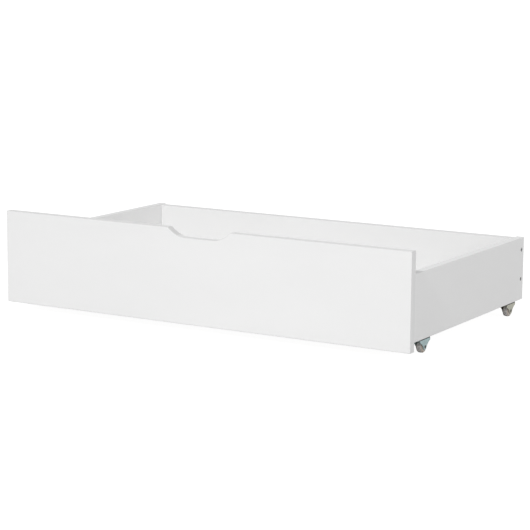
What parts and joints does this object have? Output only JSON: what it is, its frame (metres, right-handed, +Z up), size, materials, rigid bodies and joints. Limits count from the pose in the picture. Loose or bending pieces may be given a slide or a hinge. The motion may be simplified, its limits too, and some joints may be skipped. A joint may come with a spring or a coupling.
{
  "type": "under bed box",
  "caption": "Shallow white drawer on fixed castors that rolls out from under a bed, with a tall front panel and a curved hand cut-out in its top edge.",
  "frame": {"origin": "on the floor, under the middle of the box's bounding box", "axes": "+X to the right along the front panel, -Y out of the front panel, +Z up"},
  "size_m": [1, 0.59, 0.222],
  "materials": {
    "white_paint": "satin white painted board with eased edges",
    "base_board": "thin hardboard, white faced on top, brown underneath",
    "dowel_wood": "plain fluted beech",
    "zinc": "bright zinc plate",
    "castor_zinc": "pressed steel, blue-tinted zinc plate",
    "rivet_steel": "dark oiled steel",
    "dark_screw": "dark coated steel",
    "wheel_plastic": "moulded grey-brown plastic"
  },
  "bodies": {
    "box": {"front_panel": "white_paint", "left_side_panel": "white_paint", "right_side_panel": "white_paint", "back_panel": "white_paint", "base_panel_left": "base_board", "base_panel_right": "base_board", "base_centre_rail": "white_paint", "cam_locks": "zinc", "cam_bolts": "zinc", "front_dowels": "dowel_wood", "back_dowels": "dowel_wood", "rail_dowels": "dowel_wood", "rear_corner_screws": "dark_screw", "rail_screws": "dark_screw", "base_screws": "zinc", "castor_screws": "zinc", "front_left_castor_bracket": "castor_zinc", "front_left_castor_axle": "rivet_steel", "front_right_castor_bracket": "castor_zinc", "front_right_castor_axle": "rivet_steel", "rear_left_castor_bracket": "castor_zinc", "rear_left_castor_axle": "rivet_steel", "rear_right_castor_bracket": "castor_zinc", "rear_right_castor_axle": "rivet_steel"},
    "front_left_wheel": {"front_left_castor_wheel": "wheel_plastic"},
    "front_right_wheel": {"front_right_castor_wheel": "wheel_plastic"},
    "rear_left_wheel": {"rear_left_castor_wheel": "wheel_plastic"},
    "rear_right_wheel": {"rear_right_castor_wheel": "wheel_plastic"}
  },
  "joints": [
    {"name": "front_left_wheel_spin", "type": "hinge", "parent": "box", "child": "front_left_wheel", "pos_m": [-0.478, -0.2, 0.013], "axis": [1, 0, 0], "continuous": true},
    {"name": "front_right_wheel_spin", "type": "hinge", "parent": "box", "child": "front_right_wheel", "pos_m": [0.478, -0.2, 0.013], "axis": [1, 0, 0], "continuous": true},
    {"name": "rear_left_wheel_spin", "type": "hinge", "parent": "box", "child": "rear_left_wheel", "pos_m": [-0.478, 0.2325, 0.013], "axis": [1, 0, 0], "continuous": true},
    {"name": "rear_right_wheel_spin", "type": "hinge", "parent": "box", "child": "rear_right_wheel", "pos_m": [0.478, 0.2325, 0.013], "axis": [1, 0, 0], "continuous": true}
  ]
}
